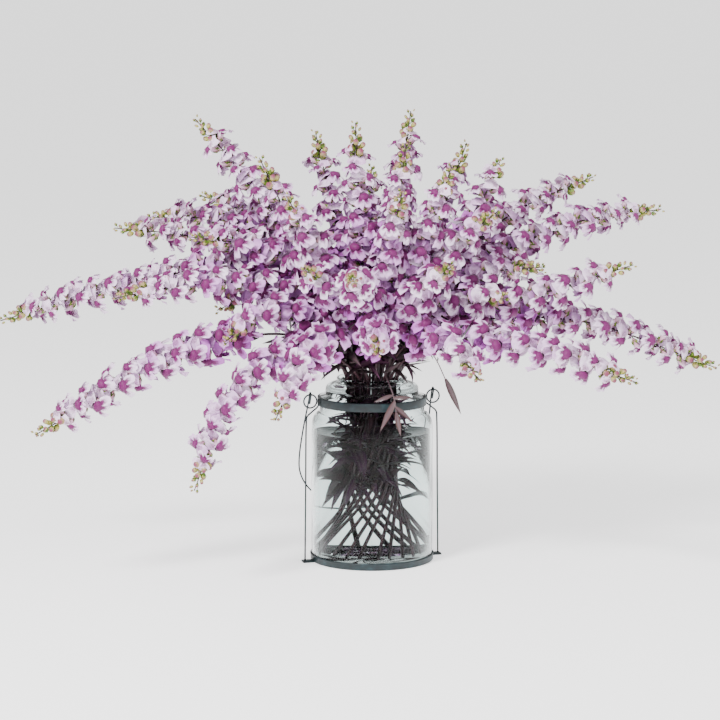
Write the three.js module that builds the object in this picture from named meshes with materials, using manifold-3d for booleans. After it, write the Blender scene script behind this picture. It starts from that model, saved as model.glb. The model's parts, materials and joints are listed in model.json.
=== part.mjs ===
// Cut snapdragons in a clear lantern jar that stands in a wire carrier with a swinging bail.
// Millimetres, +Z up. The origin is the centre of the tray's flat underside, the ear rings
// lie on the X axis, and the jar's back, where the bail rests, faces +Y.
import * as THREE from "three";
import { mergeVertices } from "three/addons/utils/BufferGeometryUtils.js";
import Module from "manifold-3d";

const wasm = await Module();
wasm.setup();

// ---- driving dimensions ----
const GAP = 0.3; // clearance that touching pieces keep

const TRAY_FLOOR = 2;
const TRAY_HEIGHT = 11;
const TRAY_WALL = 1.8;
const TAB_WIDTH = 14;
const TAB_REACH = 109; // the tabs' ends, from the axis
const TAB_THICKNESS = 3;

const JAR_RADIUS = 91.5;
const JAR_WALL = 3.5;
const JAR_FLOOR = 5;
const JAR_FOOT_FILLET = 7;
const JAR_INNER_FILLET = 5;
const SHOULDER_START = 200; // where the straight body ends
const SHOULDER_END = 222;
const BAND_SEAT_RADIUS = 78.5; // glass under the band
const COLLAR_START = 250;
const COLLAR_RADIUS = 70; // glass above the band
const COLLAR_END = 260;
const NECK_RADIUS = 50;
const NECK_START = 270;
const RIM_RADIUS = 53;
const RIM_HEIGHT = 278;

const BAND_BOTTOM = 236;
const BAND_TOP = 249;
const BAND_THICKNESS = 3.2;
const EDGE_BREAK = 0.6; // on the rims of the band and the tray

const WIRE = 2.4; // diameter of every wire of the carrier
const FRAME_FOOT_X = 105;
const FRAME_TOP_X = 102.5;
const FRAME_BEND_Z = 221;
// The upright wire's top runs beside the band.
const FRAME_WELD_X = BAND_SEAT_RADIUS + GAP + BAND_THICKNESS + GAP + WIRE / 2;

const EAR_RADIUS = 10; // to the middle of the wire
const EAR_Z = 244.5;
const EAR_X = FRAME_WELD_X + WIRE + GAP + EAR_RADIUS; // the ring lies against the upright wire

const HOOK_RADIUS = 3.2; // middle of the hook's wire, about the ring's top wire
const HOOK_TIP = 14;
const BAIL_REACH = 210; // hinge to the far side of the bow
const BAIL_BOW = 94; // height of the bow's half ellipse
const BAIL_SPLAY = 3; // how much wider the bow is than the hooks, each side

const BOUQUET_TURN = -16.5; // degrees about Z, from the carrier's own X axis
const STEM_RADIUS = 2.3;
const FLOOR_END_Z = 9.5; // cut end of a stem that reaches the jar's floor
const WAIST_Z = 128;
const WAIST_TWIST = 75; // degrees round the axis, from the neck down to the waist
const FLOOR_TWIST = 160; // and from the neck down to the floor
const RACEME_RADIUS = 23;

const metal = new THREE.MeshStandardMaterial({ color: 0x24363b, roughness: 0.5, metalness: 0.7 });
const glass = new THREE.MeshStandardMaterial({ color: 0xdfeef0, roughness: 0.05, metalness: 0 });
const bloom = new THREE.MeshStandardMaterial({ color: 0xd9b3e0, roughness: 0.7, metalness: 0 });

// ---- helpers ----
const radians = THREE.MathUtils.degToRad;

// A closed geometry as a manifold-3d solid.
function solid(geometry) {
  const bare = geometry.clone();
  bare.deleteAttribute("normal");
  bare.deleteAttribute("uv");
  const merged = mergeVertices(bare, 1e-3);
  return new wasm.Manifold(
    new wasm.Mesh({
      numProp: 3,
      vertProperties: merged.attributes.position.array,
      triVerts: new Uint32Array(merged.index.array),
    }),
  );
}

// A manifold-3d solid as a geometry.
function geometryOf(joined) {
  const mesh = joined.getMesh();
  const geometry = new THREE.BufferGeometry();
  geometry.setAttribute("position", new THREE.BufferAttribute(mesh.vertProperties, 3));
  geometry.setIndex(new THREE.BufferAttribute(mesh.triVerts, 1));
  geometry.computeVertexNormals();
  return geometry;
}

const join = (...geometries) => geometryOf(geometries.map(solid).reduce((all, one) => all.add(one)));

function piece(name, geometry, material) {
  const mesh = new THREE.Mesh(geometry, material);
  mesh.name = name;
  return mesh;
}

// A profile of [radius, height] points turned round the Z axis.
function turned(profile, segments) {
  const points = profile.map(([radius, height]) => new THREE.Vector2(radius, height));
  return new THREE.LatheGeometry(points, segments).rotateX(Math.PI / 2);
}

// Points of a quarter-ellipse between two profile points; `corner` is where its tangents meet.
function roundedCorner(from, corner, to, steps) {
  const curve = new THREE.QuadraticBezierCurve(
    new THREE.Vector2(...from),
    new THREE.Vector2(...corner),
    new THREE.Vector2(...to),
  );
  return curve.getPoints(steps).map((p) => [p.x, p.y]);
}

// A round wire along a curve.
function wire(curve, steps, sides = 6) {
  const section = new THREE.Shape();
  for (let i = 0; i < sides; i++) {
    const angle = (2 * Math.PI * (i + 0.5)) / sides;
    const x = (WIRE / 2) * Math.cos(angle);
    const y = (WIRE / 2) * Math.sin(angle);
    if (i === 0) section.moveTo(x, y);
    else section.lineTo(x, y);
  }
  section.closePath();
  return new THREE.ExtrudeGeometry(section, { steps, extrudePath: curve, bevelEnabled: false });
}

const smoothCurve = (points) => new THREE.CatmullRomCurve3(points, false, "centripetal");

// ---- carrier ----
function baseTray() {
  const outer = JAR_RADIUS + GAP + TRAY_WALL;
  const dish = turned(
    [
      [0, 0],
      [outer - 1, 0],
      [outer, 1],
      [outer, TRAY_HEIGHT - EDGE_BREAK],
      [outer - EDGE_BREAK, TRAY_HEIGHT],
      [outer - TRAY_WALL, TRAY_HEIGHT],
      [outer - TRAY_WALL, TRAY_FLOOR],
      [0, TRAY_FLOOR],
    ],
    32,
  );
  const length = TAB_REACH - JAR_RADIUS - 1;
  const tabs = [-1, 1].map((side) =>
    new THREE.BoxGeometry(length, TAB_WIDTH, TAB_THICKNESS).translate(
      side * (TAB_REACH - length / 2),
      0,
      TAB_THICKNESS / 2,
    ),
  );
  return piece("base_tray", join(dish, ...tabs), metal);
}

function glassJar() {
  const foot = TRAY_FLOOR + GAP;
  const outside = [
    [0, foot],
    ...roundedCorner(
      [JAR_RADIUS - JAR_FOOT_FILLET, foot],
      [JAR_RADIUS, foot],
      [JAR_RADIUS, foot + JAR_FOOT_FILLET],
      3,
    ),
    ...roundedCorner(
      [JAR_RADIUS, SHOULDER_START],
      [JAR_RADIUS, SHOULDER_END],
      [BAND_SEAT_RADIUS, SHOULDER_END + 4],
      4,
    ),
    [BAND_SEAT_RADIUS, COLLAR_START],
    [COLLAR_RADIUS, COLLAR_START + 2],
    ...roundedCorner(
      [COLLAR_RADIUS, COLLAR_END],
      [COLLAR_RADIUS, NECK_START],
      [NECK_RADIUS, NECK_START],
      4,
    ),
    [NECK_RADIUS, RIM_HEIGHT - 5],
    [RIM_RADIUS, RIM_HEIGHT - 2],
    [RIM_RADIUS - 1, RIM_HEIGHT],
  ];
  const w = JAR_WALL;
  const inside = [
    [NECK_RADIUS - w + 1, RIM_HEIGHT],
    [NECK_RADIUS - w, RIM_HEIGHT - 3],
    [NECK_RADIUS - w, NECK_START - w],
    ...roundedCorner(
      [NECK_RADIUS, NECK_START - w],
      [COLLAR_RADIUS - w, NECK_START - w],
      [COLLAR_RADIUS - w, COLLAR_END - w],
      3,
    ),
    [COLLAR_RADIUS - w, COLLAR_START - 1],
    [BAND_SEAT_RADIUS - w, COLLAR_START - 4],
    ...roundedCorner(
      [BAND_SEAT_RADIUS - w, SHOULDER_END + 2],
      [JAR_RADIUS - w, SHOULDER_END - w],
      [JAR_RADIUS - w, SHOULDER_START],
      4,
    ),
    ...roundedCorner(
      [JAR_RADIUS - w, foot + JAR_FLOOR + JAR_INNER_FILLET],
      [JAR_RADIUS - w, foot + JAR_FLOOR],
      [JAR_RADIUS - w - JAR_INNER_FILLET, foot + JAR_FLOOR],
      2,
    ),
    [0, foot + JAR_FLOOR],
  ];
  return piece("glass_jar", turned([...outside, ...inside], 32), glass);
}

function neckBand() {
  const inner = BAND_SEAT_RADIUS + GAP;
  const outer = inner + BAND_THICKNESS;
  const profile = [
    [inner, BAND_BOTTOM],
    [outer - EDGE_BREAK, BAND_BOTTOM],
    [outer, BAND_BOTTOM + EDGE_BREAK],
    [outer, BAND_TOP - EDGE_BREAK],
    [outer - EDGE_BREAK, BAND_TOP],
    [inner, BAND_TOP],
    [inner, BAND_BOTTOM],
  ];
  return piece("neck_band", turned(profile, 32), metal);
}

function frameWire(name, side) {
  const at = (x, z) => new THREE.Vector3(side * x, 0, z);
  const curve = smoothCurve([
    at(FRAME_FOOT_X, TAB_THICKNESS + GAP),
    at((FRAME_FOOT_X + FRAME_TOP_X) / 2, FRAME_BEND_Z / 2),
    at(FRAME_TOP_X, FRAME_BEND_Z - 10),
    at(FRAME_TOP_X - 1, FRAME_BEND_Z),
    at((FRAME_TOP_X + FRAME_WELD_X) / 2, FRAME_BEND_Z + 8),
    at(FRAME_WELD_X + 0.5, FRAME_BEND_Z + 16),
    at(FRAME_WELD_X, BAND_TOP - 1),
  ]);
  return piece(name, wire(curve, 26), metal);
}

function earRing(name, side) {
  const ring = new THREE.TorusGeometry(EAR_RADIUS, WIRE / 2, 6, 22);
  const mesh = piece(name, ring, metal);
  mesh.rotation.x = Math.PI / 2;
  mesh.position.set(side * EAR_X, 0, EAR_Z);
  return mesh;
}

// The bail is drawn hanging straight down from its hinge axis, then leaned back on the jar.
function bailHandle() {
  const hingeZ = EAR_Z + EAR_RADIUS;
  const bowX = EAR_X + BAIL_SPLAY;
  const legEnd = BAIL_REACH - BAIL_BOW;
  const leg = (side) => [
    new THREE.Vector3(side * EAR_X, HOOK_RADIUS, 0),
    new THREE.Vector3(side * EAR_X, HOOK_RADIUS, -10),
    new THREE.Vector3(side * bowX, HOOK_RADIUS, -legEnd * 0.6),
  ];
  const bow = [];
  for (let degrees = 0; degrees <= 180; degrees += 15) {
    const x = bowX * Math.cos(radians(degrees));
    const z = -legEnd - BAIL_BOW * Math.sin(radians(degrees));
    bow.push(new THREE.Vector3(x, HOOK_RADIUS, z));
  }
  const bend = smoothCurve([...leg(1), ...bow, ...leg(-1).reverse()]);
  const hooks = [-1, 1].map((side) => {
    const route = [new THREE.Vector3(side * EAR_X, HOOK_RADIUS, -4)];
    for (let degrees = 0; degrees <= 180; degrees += 30) {
      const y = HOOK_RADIUS * Math.cos(radians(degrees));
      const z = HOOK_RADIUS * Math.sin(radians(degrees));
      route.push(new THREE.Vector3(side * EAR_X, y, z));
    }
    route.push(new THREE.Vector3(side * EAR_X, -HOOK_RADIUS, -HOOK_TIP));
    return wire(smoothCurve(route), 15);
  });
  const geometry = join(wire(bend, 48), ...hooks);
  // The lean at which the bow's wire just clears the glass behind the jar.
  const clear = JAR_RADIUS + WIRE / 2 + GAP;
  const lean = Math.asin((clear - HOOK_RADIUS * 0.9) / BAIL_REACH);
  geometry.rotateX(lean);
  geometry.translate(0, 0, hingeZ);
  return piece("bail_handle", geometry, metal);
}

// ---- bouquet ----
// Each cut stem with its flowers grew as one piece, so it is one solid. Above the neck it leans
// out along its bearing, which is counted from the right, anticlockwise from above.
// Shoulder, bend and tip are [out from the axis, up from the table]. `bare` is the share of the
// length above the rim with no flowers. In the neck the stems stand in three nested rings: the
// outer ones spread to the jar's floor, and the others are cut short inside the bundle.
const RINGS = {
  // radius at the neck, at the waist and at the jar's floor, and the height of the cut end
  outer: { neck: 39, waist: 28, floor: 79, cutZ: FLOOR_END_Z },
  middle: { neck: 26.5, waist: 18.5, floor: 60, cutZ: 104 },
  inner: { neck: 13.5, waist: 9.5, floor: 38, cutZ: 110 },
};

// On the floor the ends stand unevenly. By turns: a factor on the radius, and degrees of wander.
const FLOOR_PLACES = [[1, 3], [0.88, -1], [0.96, 4], [0.84, 2], [0.94, 0], [1, -4], [0.9, -1]];

const SPIKES = [
  // name, ring, bearing, shoulder, bend, tip, bare
  ["far_left", "outer", 183, [150, 440], [395, 410], [553, 366], 0.22],
  ["left_high", "outer", 168, [110, 400], [260, 478], [400, 494], 0.25],
  ["left_upper", "outer", 158, [90, 410], [225, 500], [370, 506], 0.25],
  ["left_top", "middle", 148, [70, 420], [185, 500], [311, 537], 0.3],
  ["left_tall", "middle", 165, [85, 420], [180, 555], [276, 660], 0.35],
  ["left_bud", "middle", 195, [90, 430], [190, 480], [277, 495], 0.3],
  ["left_front_tall", "middle", 213, [80, 400], [150, 530], [195, 613], 0.3],
  ["left_low", "outer", 194, [110, 385], [180, 405], [236, 385], 0.35],
  ["left_middle", "outer", 200, [130, 410], [270, 428], [397, 412], 0.3],
  ["left_droop", "outer", 207, [120, 345], [300, 335], [536, 230], 0.35],
  ["left_hang", "outer", 224, [140, 332], [285, 268], [352, 150], 0.22],
  ["left_front", "outer", 216, [110, 370], [190, 390], [264, 350], 0.35],
  ["front_left_low", "outer", 240, [110, 342], [200, 326], [276, 250], 0.3],
  ["front_left", "middle", 243, [75, 380], [150, 430], [215, 460], 0.35],
  ["front_left_high", "middle", 228, [70, 400], [130, 490], [185, 560], 0.35],
  ["front_low", "outer", 272, [85, 350], [170, 365], [240, 345], 0.3],
  ["front", "middle", 263, [70, 370], [150, 425], [250, 453], 0.35],
  ["front_tall", "inner", 252, [38, 400], [62, 540], [80, 662], 0.35],
  ["front_high", "middle", 284, [55, 390], [115, 490], [174, 570], 0.35],
  ["front_right_low", "outer", 308, [100, 345], [180, 345], [250, 300], 0.35],
  ["front_right", "middle", 302, [75, 370], [150, 425], [215, 465], 0.35],
  ["front_right_high", "middle", 308, [65, 390], [130, 500], [185, 605], 0.35],
  ["right_front", "outer", 331, [90, 370], [160, 400], [226, 410], 0.35],
  ["right_low", "outer", 322, [105, 335], [280, 345], [465, 312], 0.35],
  ["right_front_high", "middle", 322, [75, 400], [150, 480], [230, 540], 0.35],
  ["right_bud", "outer", 341, [95, 395], [180, 440], [262, 452], 0.35],
  ["right_bare", "middle", 350, [75, 400], [155, 525], [192, 606], 0.62],
  ["right_lower", "outer", 345, [125, 370], [270, 415], [393, 457], 0.3],
  ["far_right", "outer", 356, [110, 350], [300, 366], [514, 296], 0.25],
  ["right_upper", "outer", 6, [130, 420], [290, 502], [438, 526], 0.25],
  ["right_high", "middle", 20, [100, 420], [230, 518], [361, 569], 0.3],
  ["right_top", "inner", 35, [60, 400], [130, 520], [176, 622], 0.35],
  ["top_right", "inner", 62, [45, 400], [90, 540], [126, 670], 0.35],
  ["top", "inner", 300, [32, 400], [70, 520], [98, 634], 0.35],
  ["top_left", "inner", 122, [52, 400], [115, 530], [164, 638], 0.35],
  ["back_right_low", "outer", 33, [110, 380], [220, 430], [320, 420], 0.3],
  ["back_right", "outer", 62, [100, 390], [190, 440], [280, 440], 0.3],
  ["back", "outer", 92, [90, 390], [180, 450], [275, 470], 0.3],
  ["back_left", "outer", 122, [100, 380], [200, 425], [300, 415], 0.3],
  ["back_high", "middle", 90, [70, 410], [130, 510], [185, 580], 0.35],
];

// A point by bearing, distance from the axis and height.
function pointAt(bearing, out, up) {
  const angle = radians(bearing);
  return new THREE.Vector3(out * Math.cos(angle), out * Math.sin(angle), up);
}

// Where each stem stands round its ring at the neck: in order of bearing and evenly spaced, with
// the ring turned so that its places lie as near to the bearings as they can.
function neckBearings(ringName) {
  const stems = SPIKES.filter(([, ring]) => ring === ringName).sort((a, b) => a[2] - b[2]);
  const step = 360 / stems.length;
  const offset = stems.reduce((sum, [, , bearing], place) => sum + bearing - place * step, 0);
  const start = offset / stems.length;
  return stems.map(([name], place) => [name, { neck: start + place * step, place }]);
}

const NECK_PLACES = Object.fromEntries(Object.keys(RINGS).flatMap(neckBearings));

const SAMPLES = 160; // frames worked out along each stem

function stemRoute(name, ringName, bearing, ...shape) {
  const ring = RINGS[ringName];
  const { neck, place } = NECK_PLACES[name];
  const reaches = ring.cutZ === FLOOR_END_Z;
  const [spread, wander] = reaches ? FLOOR_PLACES[place % FLOOR_PLACES.length] : [1, 0];
  const whole = smoothCurve([
    pointAt(neck - FLOOR_TWIST + wander, ring.floor * spread, FLOOR_END_Z),
    pointAt(neck - WAIST_TWIST, ring.waist, WAIST_Z),
    pointAt(neck, ring.neck, RIM_HEIGHT),
    ...shape.map(([out, up]) => pointAt(bearing, out, up)),
  ]);
  return smoothCurve(whole.getSpacedPoints(SAMPLES).filter((point) => point.z >= ring.cutZ));
}

// ---- the solids of the stems ----
const STEM_RINGS = 9; // cross-sections of the bare stem
const WHORLS = 5; // stepped rings of flowers in the plain solid
const SIDES = 5;
const WHORL_WIDE = 0.3; // where a whorl is widest, as a share of its step
const WHORL_NARROW = 0.8; // and where it is narrowest
const NARROWING = 0.8; // narrow radius over wide radius
const FOOT_SHARE = 0.45; // radius where the flowers begin, over the full radius
const FOOT_GROWTH = 3; // how fast it widens from there
const TIP_SHARE = 0.16; // radius at the tip, over the full radius
const TIP_GROWTH = 1.9; // how fast it widens back from the tip
const ROOM_USED = 0.9; // share of the free room that a raceme may fill

const spikes = SPIKES.map(([name, ring, bearing, shoulder, bend, tip, bare]) => {
  const curve = stemRoute(name, ring, bearing, shoulder, bend, tip);
  const frames = curve.computeFrenetFrames(SAMPLES, false);
  const points = curve.getSpacedPoints(SAMPLES);
  const rim = points.findIndex((p) => p.z > RIM_HEIGHT) / SAMPLES;
  return { name, points, frames, length: curve.getLength(), rim, bloom: rim + (1 - rim) * bare };
});

// Room for one stem's flowers at a sample: half the way to the nearest other stem.
function room(spike, index) {
  const here = spike.points[index];
  let nearest = Infinity;
  for (const other of spikes) {
    if (other === spike) continue;
    for (const point of other.points) nearest = Math.min(nearest, here.distanceTo(point));
  }
  return nearest / 2 - 1.5 * GAP;
}

// Radius of the plain solid at a share of the stem's length.
function racemeRadius(spike, share, full) {
  const along = (share - spike.bloom) / (1 - spike.bloom);
  const taper = Math.min(1, FOOT_SHARE + FOOT_GROWTH * along, TIP_SHARE + TIP_GROWTH * (1 - along));
  const index = Math.round(share * SAMPLES);
  return Math.max(STEM_RADIUS, Math.min(full * taper, ROOM_USED * room(spike, index)));
}

// The stem and its raceme: a profile turned round a straight axis, then bent along the route.
function snapdragon(spike) {
  const profile = [[0, 0]];
  for (let i = 0; i < STEM_RINGS; i++) {
    profile.push([STEM_RADIUS, (spike.bloom * i) / (STEM_RINGS - 1)]);
  }
  const step = (1 - spike.bloom) / WHORLS;
  for (let whorl = 0; whorl < WHORLS; whorl++) {
    const wide = spike.bloom + (whorl + WHORL_WIDE) * step;
    const narrow = spike.bloom + (whorl + WHORL_NARROW) * step;
    profile.push([racemeRadius(spike, wide, RACEME_RADIUS), wide]);
    profile.push([racemeRadius(spike, narrow, NARROWING * RACEME_RADIUS), narrow]);
  }
  profile.push([0, 1]);
  const geometry = turned(profile, SIDES);
  const position = geometry.attributes.position;
  const vertex = new THREE.Vector3();
  for (let i = 0; i < position.count; i++) {
    vertex.fromBufferAttribute(position, i);
    const index = Math.round(vertex.z * SAMPLES);
    const bent = spike.points[index]
      .clone()
      .addScaledVector(spike.frames.normals[index], vertex.x)
      .addScaledVector(spike.frames.binormals[index], vertex.y);
    position.setXYZ(i, bent.x, bent.y, bent.z);
  }
  geometry.computeVertexNormals();
  return piece("snapdragon_" + spike.name, geometry, bloom);
}

const bouquet = new THREE.Group();
bouquet.rotation.z = radians(BOUQUET_TURN);
bouquet.add(...spikes.map(snapdragon));

const root = new THREE.Group();
root.add(baseTray(), glassJar(), neckBand());
root.add(frameWire("frame_wire_left", -1), frameWire("frame_wire_right", 1));
root.add(earRing("ear_ring_left", -1), earRing("ear_ring_right", 1));
root.add(bailHandle(), bouquet);

export default root;
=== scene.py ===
# %% [markdown]
# A lantern jar of cut snapdragons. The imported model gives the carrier, the jar and a plain solid
# for each stem. This lesson keeps those sizes and gives every piece its real surface: blown
# glass, water, painted wire, and racemes built floret by floret.

# %% Load the frame
import json
import math
import random

import bmesh
import bpy
from mathutils import Matrix, Vector, noise


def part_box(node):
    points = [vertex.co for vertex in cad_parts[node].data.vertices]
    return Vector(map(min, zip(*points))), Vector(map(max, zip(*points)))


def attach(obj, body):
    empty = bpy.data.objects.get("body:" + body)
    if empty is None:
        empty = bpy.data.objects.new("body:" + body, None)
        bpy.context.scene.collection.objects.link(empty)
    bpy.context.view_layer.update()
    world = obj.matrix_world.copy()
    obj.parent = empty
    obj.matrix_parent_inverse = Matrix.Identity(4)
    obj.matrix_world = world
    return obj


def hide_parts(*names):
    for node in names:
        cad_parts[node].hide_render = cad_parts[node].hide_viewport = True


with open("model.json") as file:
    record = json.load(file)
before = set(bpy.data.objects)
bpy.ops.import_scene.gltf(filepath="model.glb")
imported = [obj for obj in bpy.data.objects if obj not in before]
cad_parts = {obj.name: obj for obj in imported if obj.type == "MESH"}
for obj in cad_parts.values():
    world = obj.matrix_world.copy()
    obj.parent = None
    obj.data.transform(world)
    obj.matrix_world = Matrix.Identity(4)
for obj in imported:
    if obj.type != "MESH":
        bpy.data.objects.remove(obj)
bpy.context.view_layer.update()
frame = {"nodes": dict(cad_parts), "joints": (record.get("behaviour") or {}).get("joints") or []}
random.seed(7)
MM = 0.001
RING_STEPS = 96  # faces round a large turned piece
print("frame:", len(frame["nodes"]), "nodes")

# %% [markdown]
# The camera comes first. A long lens stands far off, a little above the jar's shoulder, and
# looks at the middle of the bouquet from the side that the carrier is turned to.

# %% Camera
TURN = math.radians(-16.5)  # the bouquet's turn about Z from the carrier's own X axis
CAMERA_RISE = math.radians(8)
CAMERA_DISTANCE = 4.05
VIEW_WIDTH = 1.08  # metres across the view at the jar
LOOK_LEFT = 0.018
LOOK_HEIGHT = 0.303


def turned(x, y, z):
    """A point of the bouquet's own frame, in the model's frame."""
    cos, sin = math.cos(TURN), math.sin(TURN)
    return Vector((x * cos - y * sin, x * sin + y * cos, z))


target = turned(-LOOK_LEFT, 0, LOOK_HEIGHT)
back = turned(0, -math.cos(CAMERA_RISE), math.sin(CAMERA_RISE))
camera = bpy.data.objects.new("camera", bpy.data.cameras.new("camera"))
bpy.context.collection.objects.link(camera)
camera.location = target + back * CAMERA_DISTANCE
camera.rotation_euler = (-back).to_track_quat("-Z", "Y").to_euler()
camera.data.lens = camera.data.sensor_width * CAMERA_DISTANCE / VIEW_WIDTH
camera.data.clip_end = 400
bpy.context.scene.camera = camera

# %% [markdown]
# Node materials are easier to read when one small function adds a node, sets its inputs and
# links it. Colours are written as sRGB hex and turned to the linear values that Blender uses.


# %% Helpers for materials
def colour(hex_code):
    """An sRGB hex colour as linear RGBA."""
    parts = [int(hex_code[i : i + 2], 16) / 255 for i in (1, 3, 5)]
    linear = [c / 12.92 if c <= 0.04045 else ((c + 0.055) / 1.055) ** 2.4 for c in parts]
    return (*linear, 1)


def add_node(material, kind, settings=None, **inputs):
    """A shader node; an input is a value, or a (node, output) pair to link."""
    tree = material.node_tree
    node = tree.nodes.new(kind)
    for name, value in (settings or {}).items():
        setattr(node, name, value)
    for name, value in inputs.items():
        key = int(name[1:]) if name[0] == "_" and name[1:].isdigit() else name.replace("_", " ")
        if isinstance(value, tuple) and isinstance(value[0], bpy.types.Node):
            tree.links.new(value[0].outputs[value[1]], node.inputs[key])
        else:
            node.inputs[key].default_value = value
    return node


def new_material(name):
    """A material with an empty tree, and its Principled shader wired to the output."""
    material = bpy.data.materials.new(name)
    material.use_nodes = True
    material.node_tree.nodes.clear()
    shader = add_node(material, "ShaderNodeBsdfPrincipled")
    add_node(material, "ShaderNodeOutputMaterial", Surface=(shader, "BSDF"))
    return material, shader


def link(material, source, output, shader, socket):
    material.node_tree.links.new(source.outputs[output], shader.inputs[socket])


def mix_colour(material, factor, a, b):
    """Colour `a` where the factor is 0 and `b` where it is 1."""
    return add_node(
        material, "ShaderNodeMix", {"data_type": "RGBA"}, _0=factor, _6=a, _7=b
    )


def ramp(material, source, output, stops):
    """A colour ramp of (position, hex) stops."""
    node = add_node(material, "ShaderNodeValToRGB", Fac=(source, output))
    elements = node.color_ramp.elements
    while len(elements) < len(stops):
        elements.new(0.5)
    for element, (position, code) in zip(elements, stops):
        element.position = position
        element.color = colour(code)
    return node


def object_noise(material, size_mm, detail=2, stretch=(1, 1, 1)):
    """Noise on Object coordinates with features of a real size in millimetres."""
    place = add_node(material, "ShaderNodeTexCoord")
    scaled = add_node(material, "ShaderNodeMapping", Vector=(place, "Object"), Scale=stretch)
    return add_node(
        material, "ShaderNodeTexNoise", Vector=(scaled, "Vector"), Scale=1 / (size_mm * MM), Detail=detail
    )


def bump(material, shader, source, output, depth_mm, strength=0.5):
    node = add_node(
        material, "ShaderNodeBump", Height=(source, output), Distance=depth_mm * MM, Strength=strength
    )
    link(material, node, "Normal", shader, "Normal")


# %% [markdown]
# A mesh helper turns a bmesh into a finished piece: it smooths the faces, gives the material,
# and hides the CAD nodes that the piece stands for.


# %% Helpers for pieces
def finish_piece(name, bm, material, body, nodes=(), smooth=True):
    """The bmesh as a named object riding on a body."""
    mesh = bpy.data.meshes.new(name)
    bm.to_mesh(mesh)
    bm.free()
    for polygon in mesh.polygons:
        polygon.use_smooth = smooth
    for one in material if isinstance(material, (list, tuple)) else [material]:
        mesh.materials.append(one)
    piece = bpy.data.objects.new(name, mesh)
    bpy.context.collection.objects.link(piece)
    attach(piece, body)
    if nodes:
        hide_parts(*nodes)
    return piece


def spin_profile(profile, closed=True):
    """A bmesh of a profile of (radius, height) points in metres, spun round the Z axis."""
    bm = bmesh.new()
    verts = [bm.verts.new((r, 0, z)) for r, z in profile]
    edges = [bm.edges.new(pair) for pair in zip(verts, verts[1:])]
    if closed:
        edges.append(bm.edges.new((verts[-1], verts[0])))
    bmesh.ops.spin(
        bm, geom=verts + edges, axis=(0, 0, 1), cent=(0, 0, 0),
        angle=2 * math.pi, steps=RING_STEPS, use_merge=True,
    )
    bmesh.ops.remove_doubles(bm, verts=bm.verts, dist=1e-6)
    bmesh.ops.recalc_face_normals(bm, faces=bm.faces)
    return bm


def corner(start, bend, end, steps=6):
    """Points of a rounded corner: a quadratic curve whose tangents meet at `bend`."""
    points = []
    for i in range(steps + 1):
        t = i / steps
        points.append(tuple(
            (1 - t) ** 2 * a + 2 * t * (1 - t) * b + t * t * c for a, b, c in zip(start, bend, end)
        ))
    return points


def sweep(bm, route, radii, sides, material_index=0, cap=True):
    """A round tube along a route of points, with a radius at each point."""
    tangents = [
        (route[min(i + 1, len(route) - 1)] - route[max(i - 1, 0)]).normalized()
        for i in range(len(route))
    ]
    side = tangents[0].orthogonal().normalized()
    rings = []
    for point, tangent, radius in zip(route, tangents, radii):
        side = (side - tangent * side.dot(tangent)).normalized()
        place = Matrix((side, tangent.cross(side), tangent)).transposed().to_4x4()
        place.translation = point
        made = bmesh.ops.create_circle(bm, segments=sides, radius=radius, matrix=place)
        rings.append(made["verts"])
    faces = []
    for low, high in zip(rings, rings[1:]):
        for i in range(sides):
            j = (i + 1) % sides
            faces.append(bm.faces.new((low[i], low[j], high[j], high[i])))
    if cap:
        faces.append(bm.faces.new(reversed(rings[0])))
        faces.append(bm.faces.new(rings[-1]))
    for face in faces:
        face.material_index = material_index


# %% [markdown]
# The floor is a very wide pale sheet, so that its edge never shows behind the flowers. Light
# comes from a bright white room with two large soft boxes, as for a cut-out on white.

# %% Floor and light
FLOOR_RADIUS = 150

floor_material, floor_shader = new_material("matt_white_board")
floor_shader.inputs["Base Color"].default_value = colour("#f7f7f7")
floor_shader.inputs["Roughness"].default_value = 0.9
floor_shader.inputs["Emission Color"].default_value = (1, 1, 1, 1)
floor_shader.inputs["Emission Strength"].default_value = 1.1
bm = bmesh.new()
bmesh.ops.create_circle(bm, cap_ends=True, segments=64, radius=FLOOR_RADIUS)
floor_mesh = bpy.data.meshes.new("floor")
bm.to_mesh(floor_mesh)
bm.free()
floor_mesh.materials.append(floor_material)
floor = bpy.data.objects.new("floor", floor_mesh)
bpy.context.collection.objects.link(floor)

world = bpy.data.worlds.new("white_room")
bpy.context.scene.world = world
world.use_nodes = True
world.node_tree.nodes["Background"].inputs["Color"].default_value = (1, 1, 1, 1)
world.node_tree.nodes["Background"].inputs["Strength"].default_value = 0.75


def soft_box(name, place, size, watts):
    light = bpy.data.lights.new(name, "AREA")
    light.energy = watts
    light.size = size
    lamp = bpy.data.objects.new(name, light)
    bpy.context.collection.objects.link(lamp)
    lamp.location = place
    lamp.rotation_euler = (target - Vector(place)).to_track_quat("-Z", "Y").to_euler()


soft_box("key", turned(-1.5, -2.2, 2.6), 0.8, 190)
soft_box("fill", turned(2.2, -1.2, 1.6), 1.2, 40)

# %% [markdown]
# The carrier is steel wire and strip with a thin coat of dark blue-green paint. Paint over metal
# is a dielectric coat: it hides the steel, so metallic stays low, and brush marks and small
# chips of bare metal break the shine.

# %% Painted steel


def painted_steel():
    material, shader = new_material("painted_steel")
    mottle = object_noise(material, 14, 4)
    tone = ramp(material, mottle, "Fac", [(0.3, "#0e1719"), (0.55, "#17262a"), (0.75, "#243a40")])
    link(material, tone, "Color", shader, "Base Color")
    brush = object_noise(material, 1.2, 3, (1, 1, 0.25))
    rough = add_node(
        material, "ShaderNodeMapRange", Value=(brush, "Fac"), To_Min=0.32, To_Max=0.62
    )
    link(material, rough, "Result", shader, "Roughness")
    bump(material, shader, brush, "Fac", 0.25, 0.4)
    shader.inputs["Metallic"].default_value = 0.2
    return material


PAINT = painted_steel()

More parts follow.
